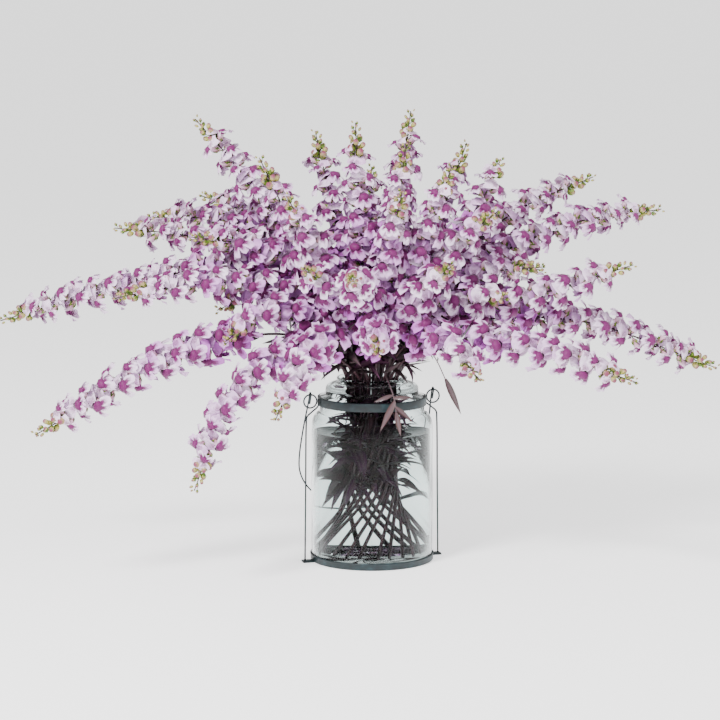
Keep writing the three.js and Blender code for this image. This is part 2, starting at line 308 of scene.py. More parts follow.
# %% [markdown]
# The tray, the band and the wires keep the CAD's places. Their boxes give the radii, and a spin
# or a sweep gives them the rounded rims that plain solids lack.

# %% Tray
tray_low, tray_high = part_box("base_tray")
tray_radius = tray_high.y
tray_top = tray_high.z
jar_low, jar_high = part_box("glass_jar")
jar_radius = jar_high.x
WALL = 1.8 * MM
ROLL = 1.5 * MM  # radius of the tray's rolled rim
floor_top = jar_low.z - 0.3 * MM

rim_centre = tray_radius - ROLL
rim = [
    (rim_centre + ROLL * math.cos(a), tray_top - ROLL + ROLL * math.sin(a))
    for a in [math.radians(d) for d in range(-60, 121, 20)]
]
tray_profile = [(1e-4, 0), (tray_radius - 2 * MM, 0)]
tray_profile += corner((tray_radius - 2 * MM, 0), (tray_radius - 0.8 * MM, 0), (tray_radius - 0.8 * MM, 2 * MM), 3)[1:]
tray_profile += rim
tray_profile += [(tray_radius - WALL, tray_top - 2.2 * MM), (tray_radius - WALL, floor_top), (1e-4, floor_top)]
bm = spin_profile(tray_profile)
TAB_WIDTH = 14 * MM
TAB_THICKNESS = 3 * MM
for side in (-1, 1):
    inner = jar_radius + 1.2 * MM
    length = tray_high.x - inner
    place = Matrix.Translation((side * (inner + length / 2), 0, TAB_THICKNESS / 2))
    place @= Matrix.Diagonal((length, TAB_WIDTH, TAB_THICKNESS, 1))
    tab = bmesh.ops.create_cube(bm, size=1, matrix=place)
    edges = list({edge for vert in tab["verts"] for edge in vert.link_edges})
    bmesh.ops.bevel(
        bm, geom=edges, offset=0.7 * MM, segments=2, profile=0.5, affect="EDGES", material=-1
    )
finish_piece("carrier_tray", bm, PAINT, "carrier", ["base_tray"])

# %% Band
band_low, band_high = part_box("neck_band")
band_outer = band_high.x
band_inner = band_outer - 3.1 * MM
BAND_ROUND = 1.1 * MM
band_profile = [(band_inner, band_low.z), (band_outer - BAND_ROUND, band_low.z)]
band_profile += corner(
    (band_outer - BAND_ROUND, band_low.z), (band_outer, band_low.z), (band_outer, band_low.z + BAND_ROUND), 3
)[1:]
band_profile += corner(
    (band_outer, band_high.z - BAND_ROUND), (band_outer, band_high.z), (band_outer - BAND_ROUND, band_high.z), 3
)
band_profile += [(band_inner, band_high.z)]
finish_piece("carrier_band", spin_profile(band_profile), PAINT, "carrier", ["neck_band"])

# %% [markdown]
# A bent wire is a smooth curve through a few points, with its round section swept along it. The
# same curve function draws the stems later, so it is the centripetal Catmull-Rom curve that the
# CAD uses.


# %% Smooth routes
def smooth_route(points, steps=12):
    """A centripetal Catmull-Rom curve through the points, with `steps` points to each stretch."""
    points = [Vector(p) for p in points]
    ends = [2 * points[0] - points[1], *points, 2 * points[-1] - points[-2]]
    route = []
    for p0, p1, p2, p3 in zip(ends, ends[1:], ends[2:], ends[3:]):
        d0, d1, d2 = [math.sqrt((b - a).length) for a, b in ((p0, p1), (p1, p2), (p2, p3))]
        t1 = ((p1 - p0) / d0 - (p2 - p0) / (d0 + d1) + (p2 - p1) / d1) * d1
        t2 = ((p2 - p1) / d1 - (p3 - p1) / (d1 + d2) + (p3 - p2) / d2) * d1
        c2 = 3 * (p2 - p1) - 2 * t1 - t2
        c3 = 2 * (p1 - p2) + t1 + t2
        route += [p1 + t1 * t + c2 * t * t + c3 * t**3 for t in [i / steps for i in range(steps)]]
    return [*route, points[-1]]


def even_route(points, count, steps=16, above=-1.0):
    """The smooth route above a height, resampled at even distances."""
    fine = [p for p in smooth_route(points, steps) if p.z >= above]
    travelled = [0.0]
    for a, b in zip(fine, fine[1:]):
        travelled.append(travelled[-1] + (b - a).length)
    route, k = [], 0
    for i in range(count + 1):
        goal = travelled[-1] * i / count
        while k < len(fine) - 2 and travelled[k + 1] < goal:
            k += 1
        share = (goal - travelled[k]) / max(travelled[k + 1] - travelled[k], 1e-9)
        route.append(fine[k].lerp(fine[k + 1], share))
    return route


# %% Frame wires and ear rings
WIRE = 2.4 * MM
EAR_RADIUS = 10 * MM
WIRE_SIDES = 12
ring_low, ring_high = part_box("ear_ring_right")
ear_x = (ring_low.x + ring_high.x) / 2
ear_z = (ring_low.z + ring_high.z) / 2
foot_x = 105 * MM
top_x = 102.5 * MM
bend_z = 221 * MM
weld_x = ear_x - EAR_RADIUS - WIRE - 0.3 * MM


def frame_wire_points(side):
    shape = [
        (foot_x, TAB_THICKNESS + 0.3 * MM),
        ((foot_x + top_x) / 2, bend_z / 2),
        (top_x, bend_z - 10 * MM),
        (top_x - MM, bend_z),
        ((top_x + weld_x) / 2, bend_z + 8 * MM),
        (weld_x + 0.5 * MM, bend_z + 16 * MM),
        (weld_x, band_high.z - MM),
    ]
    return [(side * x, 0, z) for x, z in shape]


for side, word in ((-1, "left"), (1, "right")):
    bm = bmesh.new()
    route = even_route(frame_wire_points(side), 72)
    sweep(bm, route, [WIRE / 2] * len(route), WIRE_SIDES)
    finish_piece(f"upright_wire_{word}", bm, PAINT, "carrier", [f"frame_wire_{word}"])
    bm = bmesh.new()
    circle = bmesh.ops.create_circle(
        bm, segments=WIRE_SIDES, radius=WIRE / 2,
        matrix=Matrix.Translation((side * ear_x + EAR_RADIUS, 0, ear_z)),
    )
    ring_edges = list({edge for vert in circle["verts"] for edge in vert.link_edges})
    bmesh.ops.spin(
        bm, geom=circle["verts"] + ring_edges, axis=(0, 1, 0), cent=(side * ear_x, 0, ear_z),
        angle=2 * math.pi, steps=48, use_merge=True,
    )
    bmesh.ops.remove_doubles(bm, verts=bm.verts, dist=1e-6)
    bmesh.ops.recalc_face_normals(bm, faces=bm.faces)
    finish_piece(f"ring_{word}", bm, PAINT, "carrier", [f"ear_ring_{word}"])

# %% [markdown]
# The bail is one wire: hooked over the rings' tops, straight legs, and a bow. It is drawn hanging
# from its hinge and then leaned back until the bow rests on the glass.

# %% Bail
HOOK = 3.2 * MM
REACH = 210 * MM
BOW = 94 * MM
SPLAY = 3 * MM
leg_end = REACH - BOW
bow_x = ear_x + SPLAY
hinge = Vector(frame["joints"][0]["pos_m"])


def bail_side(side):
    """From the hook's tip over the ring and down the leg, hanging from the hinge."""
    points = [(side * ear_x, -HOOK, -14 * MM), (side * ear_x, -HOOK, -7 * MM)]
    for degrees in range(180, -1, -30):
        a = math.radians(degrees)
        points.append((side * ear_x, HOOK * math.cos(a), HOOK * math.sin(a)))
    points += [(side * ear_x, HOOK, -10 * MM), (side * bow_x, HOOK, -leg_end * 0.6)]
    return points


bow = []
for degrees in range(0, 181, 15):
    a = math.radians(degrees)
    bow.append((bow_x * math.cos(a), HOOK, -leg_end - BOW * math.sin(a)))
lean = math.asin((jar_radius + WIRE / 2 + 0.3 * MM - 0.9 * HOOK) / REACH)
route = even_route([*bail_side(1), *bow, *bail_side(-1)[::-1]], 360)
route = [Matrix.Rotation(lean, 3, "X") @ point + hinge for point in route]
bm = bmesh.new()
sweep(bm, route, [WIRE / 2] * len(route), WIRE_SIDES)
finish_piece("bail_wire", bm, PAINT, "bail", ["bail_handle"])
print("bail leans back", round(math.degrees(lean), 1), "degrees")

# %% [markdown]
# The jar is one blown shell, so its inner and outer walls are one closed profile. Clear soda
# glass has an IOR of 1.5. A faint blue-green tint and slow ripples in the wall come from blowing.

# %% Glass jar
GLASS_WALL = 3.5 * MM
jar_top = jar_high.z
seat = band_inner - 0.4 * MM  # glass radius under the band
COLLAR = 70 * MM
NECK = 50 * MM
RIM = 53 * MM


def clear_glass():
    material, shader = new_material("blown_soda_glass")
    shader.inputs["Base Color"].default_value = colour("#f1f8f8")
    shader.inputs["Roughness"].default_value = 0.02
    shader.inputs["IOR"].default_value = 1.5
    shader.inputs["Specular Tint"].default_value = (0.12, 0.12, 0.12, 1)
    shader.inputs["Transmission Weight"].default_value = 1
    ripple = object_noise(material, 38, 1, (1, 1, 0.5))
    bump(material, shader, ripple, "Fac", 1.2, 0.35)
    return material


w = GLASS_WALL
foot = jar_low.z
outside = [(1e-4, foot)]
outside += corner((jar_radius - 7 * MM, foot), (jar_radius, foot), (jar_radius, foot + 7 * MM))
outside += [(jar_radius, 0.1)]
outside += corner((jar_radius, 0.200), (jar_radius, 0.222), (seat, 0.226), 8)
outside += [(seat, 0.250), (COLLAR, 0.252)]
outside += corner((COLLAR, 0.260), (COLLAR, 0.270), (NECK, 0.270), 8)
lip = [
    (RIM - 1.7 * MM + 1.7 * MM * math.cos(math.radians(d)), jar_top - 1.7 * MM + 1.7 * MM * math.sin(math.radians(d)))
    for d in range(-40, 181, 20)
]
outside += [(NECK, jar_top - 5 * MM), *lip]
inside = [(NECK - w, jar_top - 4 * MM), (NECK - w, 0.270 - w)]
inside += corner((NECK, 0.270 - w), (COLLAR - w, 0.270 - w), (COLLAR - w, 0.260 - w), 6)
inside += [(COLLAR - w, 0.249), (seat - w, 0.246)]
inside += corner((seat - w, 0.224), (jar_radius - w, 0.222 - w), (jar_radius - w, 0.200), 8)
inside += corner((jar_radius - w, foot + 10 * MM), (jar_radius - w, foot + 5 * MM), (jar_radius - w - 5 * MM, foot + 5 * MM))
inside += [(1e-4, foot + 5 * MM)]
GLASS = clear_glass()
finish_piece("jar_shell", spin_profile(outside + inside), GLASS, "carrier", ["glass_jar"])

# %% [markdown]
# Still water has an IOR of 1.33. It fills the jar up to a level just under the shoulder, and its
# edge climbs the glass a little in a meniscus.

# %% Water
WATER_LEVEL = 0.196


def still_water():
    material, shader = new_material("still_water")
    shader.inputs["Base Color"].default_value = colour("#f4faf8")
    shader.inputs["Roughness"].default_value = 0.0
    shader.inputs["IOR"].default_value = 1.33
    shader.inputs["Specular Tint"].default_value = (0.1, 0.1, 0.1, 1)
    shader.inputs["Transmission Weight"].default_value = 1
    ripple = object_noise(material, 45, 1)
    bump(material, shader, ripple, "Fac", 0.6, 0.2)
    return material


wet = jar_radius - w - 0.2 * MM
water_foot = foot + 5 * MM + 0.2 * MM
water_profile = [(1e-4, water_foot)]
water_profile += corner((wet - 5 * MM, water_foot), (wet, water_foot), (wet, water_foot + 5 * MM))
water_profile += [(wet, 0.1), (wet, WATER_LEVEL + 1.5 * MM)]
water_profile += corner((wet, WATER_LEVEL + 1.5 * MM), (wet - MM, WATER_LEVEL), (wet - 4 * MM, WATER_LEVEL), 4)[1:]
water_profile += [(1e-4, WATER_LEVEL)]
finish_piece("water", spin_profile(water_profile), still_water(), "carrier")

# %% [markdown]
# Each stem is a smooth route through its cut end, the waist of the spiral bundle, the neck and
# three points of its own. The list says, for each, the ring it stands in, its bearing, and its
# shoulder, bend and tip as distance out and height up in millimetres, then the bare share.

# %% Stem routes
# radius at the neck, at the waist and at the jar's floor, and the height of the cut end
RINGS = {"outer": (39, 28, 79, 9.5), "middle": (26.5, 18.5, 60, 104), "inner": (13.5, 9.5, 38, 110)}
RIM_HEIGHT = 278
# name, ring, bearing, shoulder, bend, tip, bare
SPIKES = [
    ("far_left", "outer", 183, [150, 440], [395, 410], [553, 366], 0.22),
    ("left_high", "outer", 168, [110, 400], [260, 478], [400, 494], 0.25),
    ("left_upper", "outer", 158, [90, 410], [225, 500], [370, 506], 0.25),
    ("left_top", "middle", 148, [70, 420], [185, 500], [311, 537], 0.3),
    ("left_tall", "middle", 165, [85, 420], [180, 555], [276, 660], 0.35),
    ("left_bud", "middle", 195, [90, 430], [190, 480], [277, 495], 0.3),
    ("left_front_tall", "middle", 213, [80, 400], [150, 530], [195, 613], 0.3),
    ("left_low", "outer", 194, [110, 385], [180, 405], [236, 385], 0.35),
    ("left_middle", "outer", 200, [130, 410], [270, 428], [397, 412], 0.3),
    ("left_droop", "outer", 207, [120, 345], [300, 335], [536, 230], 0.35),
    ("left_hang", "outer", 224, [140, 332], [285, 268], [352, 150], 0.22),
    ("left_front", "outer", 216, [110, 370], [190, 390], [264, 350], 0.35),
    ("front_left_low", "outer", 240, [110, 342], [200, 326], [276, 250], 0.3),
    ("front_left", "middle", 243, [75, 380], [150, 430], [215, 460], 0.35),
    ("front_left_high", "middle", 228, [70, 400], [130, 490], [185, 560], 0.35),
    ("front_low", "outer", 272, [85, 350], [170, 365], [240, 345], 0.3),
    ("front", "middle", 263, [70, 370], [150, 425], [250, 453], 0.35),
    ("front_tall", "inner", 252, [38, 400], [62, 540], [80, 662], 0.35),
    ("front_high", "middle", 284, [55, 390], [115, 490], [174, 570], 0.35),
    ("front_right_low", "outer", 308, [100, 345], [180, 345], [250, 300], 0.35),
    ("front_right", "middle", 302, [75, 370], [150, 425], [215, 465], 0.35),
    ("front_right_high", "middle", 308, [65, 390], [130, 500], [185, 605], 0.35),
    ("right_front", "outer", 331, [90, 370], [160, 400], [226, 410], 0.35),
    ("right_low", "outer", 322, [105, 335], [280, 345], [465, 312], 0.35),
    ("right_front_high", "middle", 322, [75, 400], [150, 480], [230, 540], 0.35),
    ("right_bud", "outer", 341, [95, 395], [180, 440], [262, 452], 0.35),
    ("right_bare", "middle", 350, [75, 400], [155, 525], [192, 606], 0.62),
    ("right_lower", "outer", 345, [125, 370], [270, 415], [393, 457], 0.3),
    ("far_right", "outer", 356, [110, 350], [300, 366], [514, 296], 0.25),
    ("right_upper", "outer", 6, [130, 420], [290, 502], [438, 526], 0.25),
    ("right_high", "middle", 20, [100, 420], [230, 518], [361, 569], 0.3),
    ("right_top", "inner", 35, [60, 400], [130, 520], [176, 622], 0.35),
    ("top_right", "inner", 62, [45, 400], [90, 540], [126, 670], 0.35),
    ("top", "inner", 300, [32, 400], [70, 520], [98, 634], 0.35),
    ("top_left", "inner", 122, [52, 400], [115, 530], [164, 638], 0.35),
    ("back_right_low", "outer", 33, [110, 380], [220, 430], [320, 420], 0.3),
    ("back_right", "outer", 62, [100, 390], [190, 440], [280, 440], 0.3),
    ("back", "outer", 92, [90, 390], [180, 450], [275, 470], 0.3),
    ("back_left", "outer", 122, [100, 380], [200, 425], [300, 415], 0.3),
    ("back_high", "middle", 90, [70, 410], [130, 510], [185, 580], 0.35),
]


def point_at(bearing, out, up):
    a = math.radians(bearing)
    return turned(out * math.cos(a) * MM, out * math.sin(a) * MM, up * MM)


def neck_bearings(ring):
    """Even places round a ring at the neck, in order of bearing and as near as they can lie."""
    stems = sorted((s for s in SPIKES if s[1] == ring), key=lambda s: s[2])
    step = 360 / len(stems)
    start = sum(s[2] - i * step for i, s in enumerate(stems)) / len(stems)
    return {s[0]: (start + i * step, i) for i, s in enumerate(stems)}


NECK_PLACES = {name: place for ring in RINGS for name, place in neck_bearings(ring).items()}
# on the floor, by turns: a factor on the radius, and degrees of wander
FLOOR_PLACES = [(1, 3), (0.88, -1), (0.96, 4), (0.84, 2), (0.94, 0), (1, -4), (0.9, -1)]
SAMPLES = 160
FLOOR_END = 9.5
WAIST = 128
WAIST_TWIST = 75
FLOOR_TWIST = 160


class Stem:
    """A stem's route, with the shares of its length at the rim and where its flowers begin."""

    def __init__(self, name, ring, bearing, shoulder, bend, tip, bare):
        neck, waist, floor_end, cut_height = RINGS[ring]
        place, order = NECK_PLACES[name]
        spread, wander = FLOOR_PLACES[order % len(FLOOR_PLACES)] if ring == "outer" else (1, 0)
        points = [
            point_at(place - FLOOR_TWIST + wander, floor_end * spread, FLOOR_END),
            point_at(place - WAIST_TWIST, waist, WAIST),
            point_at(place, neck, RIM_HEIGHT),
        ]
        points += [point_at(bearing, out, up) for out, up in (shoulder, bend, tip)]
        self.name = name
        self.route = even_route(points, SAMPLES, steps=24, above=cut_height * MM)
        self.length = sum((b - a).length for a, b in zip(self.route, self.route[1:]))
        self.rim = next(i for i, p in enumerate(self.route) if p.z > RIM_HEIGHT * MM) / SAMPLES
        self.bloom = self.rim + (1 - self.rim) * bare

    def at(self, share):
        """The point, direction and a sideways vector at a share of the length."""
        x = max(0.0, min(share, 1.0)) * SAMPLES
        i = min(int(x), SAMPLES - 1)
        point = self.route[i].lerp(self.route[i + 1], x - i)
        low, high = self.route[max(i - 1, 0)], self.route[min(i + 2, SAMPLES)]
        along = (high - low).normalized()
        across = along.cross(Vector((0.31, 0.17, 0.94))).normalized()
        return point, along, across


STEMS = [Stem(*row) for row in SPIKES]
print("stems:", len(STEMS), "longest", round(max(s.length for s in STEMS), 3), "m")

# %% [markdown]
# A snapdragon floret is a tube with two lips. Two broad lobes stand up behind, three lobes
# spread below, and between them the swollen palate shuts the throat. Each lobe starts as a small
# grid that is narrowed, curled and ruffled; the tube and palate are turned shapes. A colour
# attribute marks how magenta, how yellow and how tube-like each point is, so one material can
# paint every floret. It has under a hundred faces, because the bouquet holds over a thousand.

# %% Floret parts
MARK = "bloom_mark"  # red: magenta, green: yellow, blue: tube, alpha: how pink this floret is


def mark_layer(bm):
    return bm.verts.layers.float_color.get(MARK) or bm.verts.layers.float_color.new(MARK)


def fade(value, full, none):
    """1 at `full`, 0 at `none`, smooth between."""
    t = max(0.0, min(1.0, (value - none) / (full - none)))
    return t * t * (3 - 2 * t)


def add_lobe(bm, place, length, width, curl, cup, ruffle, magenta, seed, rows=2):
    """A petal lobe: it grows along +Y of `place`, and its face looks along +Z."""
    layer = mark_layer(bm)
    grid = bmesh.ops.create_grid(bm, x_segments=rows + 1, y_segments=rows, size=0.5)
    for vert in grid["verts"]:
        s, t = vert.co.x * 2, vert.co.y + 0.5
        half = width / 2 * (0.5 + 1.15 * t - 0.72 * t**3)
        wave = ruffle * t * math.sin(4.2 * s + seed) + 0.5 * ruffle * t * t * math.sin(9 * s + 2 * seed)
        point = Vector((
            half * s,
            length * (t - 0.2 * s * s * t) + 0.06 * length * t * math.sin(7 * s + seed),
            -curl * t * t + cup * s * s * t + wave,
        ))
        vert.co = place @ point
        vert[layer] = (magenta * fade(t, 0.2, 0.85) * fade(abs(s), 0.4, 1.3), 0, 0, 0)


def add_tube(bm, opening):
    layer = mark_layer(bm)
    rings = [(0, 2.2), (6, 4.5), (18, 5.6 * opening)]
    made = []
    for x, radius in rings:
        place = Matrix.Translation((x, 0, 0)) @ Matrix.Rotation(math.pi / 2, 4, "Y")
        circle = bmesh.ops.create_circle(bm, segments=6, radius=radius, matrix=place)["verts"]
        for vert in circle:
            vert.co.z *= 0.9
            vert[layer] = (0.25 * fade(x, 20, 12), 0, fade(x, 6, 21), 0)
        made.append(circle)
    for low, high in zip(made, made[1:]):
        for i in range(6):
            j = (i + 1) % 6
            bm.faces.new((low[i], low[j], high[j], high[i]))


def add_palate(bm, size):
    """The two-humped swelling in the mouth, magenta with a yellow spot between the humps."""
    layer = mark_layer(bm)
    place = Matrix.Translation((17.5, 0, -2.5)) @ Matrix.Diagonal((size, 1.75 * size, 1.2 * size, 1))
    ball = bmesh.ops.create_uvsphere(bm, u_segments=6, v_segments=4, radius=5, matrix=place)
    for vert in ball["verts"]:
        across = abs(vert.co.y) / (8.7 * size)
        if vert.co.x > 18:
            vert.co.x += 5 * (across - 0.45)
        yellow = fade(across, 0.0, 0.3) * fade(vert.co.z, -4.0, 0.5) if vert.co.x > 18 else 0
        vert[layer] = (1, yellow, 0, 0)


def frame_of(origin, along, facing):
    """A frame at `origin` whose Y runs `along` and whose Z looks the way of `facing`."""
    y = Vector(along).normalized()
    x = y.cross(Vector(facing)).normalized()
    place = Matrix((x, y, x.cross(y))).transposed().to_4x4()
    place.translation = origin
    return place


# %% Floret shapes
def make_floret(number, opening, lift):
    """One floret in millimetres: its tube runs along +X and its upper lip stands along +Z."""
    rnd = random.Random(number)
    bm = bmesh.new()
    add_tube(bm, 0.8 + 0.3 * opening)
    add_palate(bm, 0.78 + 0.18 * opening)
    for side in (-1, 1):
        along = (0.3 - 0.75 * opening, side * (0.45 + rnd.uniform(-0.1, 0.1)), 1)
        place = frame_of((16, side * 3.0, 3.4), along, (1, side * 0.35, 0.1))
        add_lobe(bm, place, 19 * lift, 17, 7 * opening, -2.0, 2.8, 0.5, rnd.uniform(0, 6), 3)
        along = (0.95 - 0.55 * opening, side * (1.0 + rnd.uniform(-0.2, 0.2)), -0.75)
        place = frame_of((17.5, side * 4.2, -3.2), along, (1, side * 0.2, 0.5))
        add_lobe(bm, place, 13.5 * lift, 12, 6 * opening, -1.8, 2.6, 1, rnd.uniform(0, 6))
    place = frame_of((18, 0, -5), (0.9 - 0.6 * opening, rnd.uniform(-0.25, 0.25), -1), (1, 0, 0.6))
    add_lobe(bm, place, 11 * lift, 10, 5 * opening, -1.2, 2.2, 1, rnd.uniform(0, 6))
    return bm


PINKS = [0.1, 0.4, 0.7, 1.0]
SHAPES = [(1.0, 1.0), (1.25, 1.05), (0.8, 1.05), (1.1, 0.9), (0.45, 0.85)]  # opening, lift


def floret_meshes():
    """Every floret shape in every tint: a list of tints for each shape."""
    made = []
    for number, (opening, lift) in enumerate(SHAPES):
        tints = []
        for pink in PINKS:
            bm = make_floret(number + 11, opening, lift)
            layer = mark_layer(bm)
            for vert in bm.verts:
                red, green, blue, _ = vert[layer]
                vert[layer] = (red, green, blue, pink)
            mesh = bpy.data.meshes.new("floret_shape")
            bm.to_mesh(mesh)
            bm.free()
            tints.append(mesh)
        made.append(tints)
    return made


FLORETS = floret_meshes()
print("floret faces:", len(FLORETS[0][0].polygons))

# %% [markdown]
# Petals are thin and velvety: conical cells give them a soft sheen rather than a gloss. The
# ground is pale lilac, deeper on some florets, with magenta on the palate and lobe bases, an
# orange-yellow spot, and a dusky pink tube. Fine veins and mottling keep any petal from being flat.

# %% Petal material


def petal_material():
    material, shader = new_material("velvet_petal")
    mark = add_node(material, "ShaderNodeAttribute", {"attribute_name": MARK})
    parts = add_node(material, "ShaderNodeSeparateColor", Color=(mark, "Color"))
    pale = mix_colour(material, (mark, "Alpha"), colour("#f4e4f5"), colour("#cc70d2"))
    mottle = object_noise(material, 6, 4)
    blotch = add_node(material, "ShaderNodeMapRange", Value=(mottle, "Fac"), From_Min=0.35, From_Max=0.75, To_Max=0.4)
    lilac = mix_colour(material, (blotch, "Result"), (pale, 2), colour("#b568c2"))
    tubed = mix_colour(material, (parts, "Blue"), (lilac, 2), colour("#c08a98"))
    vein = object_noise(material, 1.6, 2)
    edge = add_node(material, "ShaderNodeMath", {"operation": "ADD"}, _0=(parts, "Red"), _1=-0.22)
    rough_edge = add_node(
        material, "ShaderNodeMath", {"operation": "MULTIPLY_ADD"}, _0=(vein, "Fac"), _1=0.4, _2=(edge, "Value")
    )
    sharp = add_node(material, "ShaderNodeMapRange", Value=(rough_edge, "Value"), From_Min=0.25, From_Max=0.6)
    magenta = mix_colour(material, (vein, "Fac"), colour("#80006a"), colour("#460038"))
    stained = mix_colour(material, (sharp, "Result"), (tubed, 2), (magenta, 2))
    spot = add_node(material, "ShaderNodeMapRange", Value=(parts, "Green"), From_Min=0.42, From_Max=0.62)
    spotted = mix_colour(material, (spot, "Result"), (stained, 2), colour("#dc7d00"))
    link(material, spotted, 2, shader, "Base Color")
    shader.inputs["Roughness"].default_value = 0.62
    shader.inputs["Sheen Weight"].default_value = 0.25
    shader.inputs["Sheen Roughness"].default_value = 0.4
    bump(material, shader, vein, "Fac", 0.3, 0.35)
    return material


PETAL = petal_material()

# %% [markdown]
# Buds are green-yellow capsules that turn maroon at the tip before they open. Calyx, bracts and
# flower stalks are a fresher green. The stem is dark maroon below and greener between the buds,
# and the leaves are narrow, dark and faintly glossy, with a paler midrib.

# %% Green materials


def bud_material():
    material, shader = new_material("bud_skin")
    mark = add_node(material, "ShaderNodeAttribute", {"attribute_name": MARK})
    parts = add_node(material, "ShaderNodeSeparateColor", Color=(mark, "Color"))
    mottle = object_noise(material, 2.5, 3)
    green = ramp(material, mottle, "Fac", [(0.3, "#5c6f10"), (0.5, "#99a020"), (0.7, "#c4bf42")])
    blush = mix_colour(material, (parts, "Blue"), (green, "Color"), colour("#c9a2a0"))
    tip = mix_colour(material, (parts, "Red"), (blush, 2), colour("#7c2350"))
    link(material, tip, 2, shader, "Base Color")
    shader.inputs["Roughness"].default_value = 0.5
    bump(material, shader, mottle, "Fac", 0.4, 0.3)
    return material


def calyx_material():
    material, shader = new_material("calyx_green")
    mottle = object_noise(material, 3, 3)
    green = ramp(material, mottle, "Fac", [(0.3, "#22380a"), (0.52, "#52741a"), (0.72, "#94a93a")])
    link(material, green, "Color", shader, "Base Color")
    shader.inputs["Roughness"].default_value = 0.55
    bump(material, shader, mottle, "Fac", 0.3, 0.3)
    return material


def stem_material():
    material, shader = new_material("dark_stem")
    ribs = object_noise(material, 5, 4, (1, 1, 0.15))
    bark = ramp(material, ribs, "Fac", [(0.3, "#1c0f14"), (0.5, "#3a1c26"), (0.66, "#4d2a34"), (0.8, "#43461f")])
    link(material, bark, "Color", shader, "Base Color")
    shader.inputs["Roughness"].default_value = 0.45
    bump(material, shader, ribs, "Fac", 0.5, 0.5)
    return material


def leaf_material():
    material, shader = new_material("bronze_leaf")
    mark = add_node(material, "ShaderNodeAttribute", {"attribute_name": MARK})
    parts = add_node(material, "ShaderNodeSeparateColor", Color=(mark, "Color"))
    mottle = object_noise(material, 9, 4)
    dark = ramp(material, mottle, "Fac", [(0.3, "#0d120d"), (0.5, "#1d2219"), (0.62, "#2a1722"), (0.78, "#4a2236")])
    purple = mix_colour(material, (parts, "Blue"), (dark, "Color"), colour("#54164a"))
    bronze = mix_colour(material, (parts, "Green"), (purple, 2), colour("#3c1711"))
    rib = mix_colour(material, (parts, "Red"), (bronze, 2), colour("#5e4a50"))
    link(material, rib, 2, shader, "Base Color")
    shader.inputs["Roughness"].default_value = 0.42
    shader.inputs["Coat Weight"].default_value = 0.15
    bump(material, shader, mottle, "Fac", 0.8, 0.4)
    return material


BUD = bud_material()
CALYX = calyx_material()
BARK = stem_material()
LEAF = leaf_material()

# %% Bud and calyx shapes


def bud_mesh(closed):
    """A bud along +X in millimetres: fat in the middle, blunt at the tip, maroon where it ends."""
    bm = bmesh.new()
    layer = mark_layer(bm)
    ball = bmesh.ops.create_uvsphere(
        bm, u_segments=6, v_segments=5, radius=1, matrix=Matrix.Rotation(math.pi / 2, 4, "Y")
    )
    for vert in ball["verts"]:
        t = (vert.co.x + 1) / 2
        wide = 1.0 + 0.35 * t * closed
        vert.co = Vector((9 * t + 1, vert.co.y * 2.9 * wide, vert.co.z * 2.9 * wide))
        vert[layer] = (fade(t, 1.0, 0.55), 0, 0.5 * t, 0)
    mesh = bpy.data.meshes.new("bud_shape")
    bm.to_mesh(mesh)
    bm.free()
    return mesh


def calyx_mesh():
    """A short stalk and a cup of five pointed sepals along +X, in millimetres."""
    bm = bmesh.new()
    stalk = [Vector((-4, 0, 0)), Vector((0.5, 0, 0))]
    sweep(bm, stalk, [0.7, 0.9], 4, cap=False)
    for i in range(5):
        turn = Matrix.Rotation(2 * math.pi * i / 5, 4, "X")
        base = bm.verts.new(turn @ Vector((0, 0, 0.8)))
        left = bm.verts.new(turn @ Vector((3, -1.9, 3.1)))
        right = bm.verts.new(turn @ Vector((3, 1.9, 3.1)))
        point = bm.verts.new(turn @ Vector((7.5, 0, 4.6)))
        bm.faces.new((base, right, point, left))
    mesh = bpy.data.meshes.new("calyx_shape")
    bm.to_mesh(mesh)
    bm.free()
    return mesh


BUD_SHAPES = [bud_mesh(0.0), bud_mesh(1.0)]
CALYX_SHAPE = calyx_mesh()

# %% [markdown]
# Flowers stand round the stem by the golden angle, so that none hides the next. Each leans out
# and towards the tip, and twists so that its upper lip is uppermost. Towards the tip the florets
# are smaller and less open, then come buds that shrink to nothing.

# %% Placing along a stem
GOLDEN = math.radians(137.5)
FLORET_STEP = 8.6 * MM
BUD_STEP = 3.2 * MM
UP = Vector((0, 0, 1))


def flower_frame(stem, share, angle, lean, scale, twist):
    """Where a flower stands: its X points outwards, its Z is its upper side."""
    point, along, across = stem.at(share)
    around = Matrix.Rotation(angle, 3, along)
    outward = (around @ across).normalized()
    lift = (along + 0.55 * UP).normalized()
    axis = (outward + lean * lift).normalized()
    top = (lift - axis * lift.dot(axis)).normalized()
    top = Matrix.Rotation(twist, 3, axis) @ top
    place = Matrix((axis, top.cross(axis), top)).transposed().to_4x4()
    place.translation = point + outward * 3.5 * MM
    return place @ Matrix.Scale(scale * MM, 4)


def add_copy(bm, mesh, place):
    copy = mesh.copy()
    copy.transform(place)
    bm.from_mesh(copy)
    bpy.data.meshes.remove(copy)


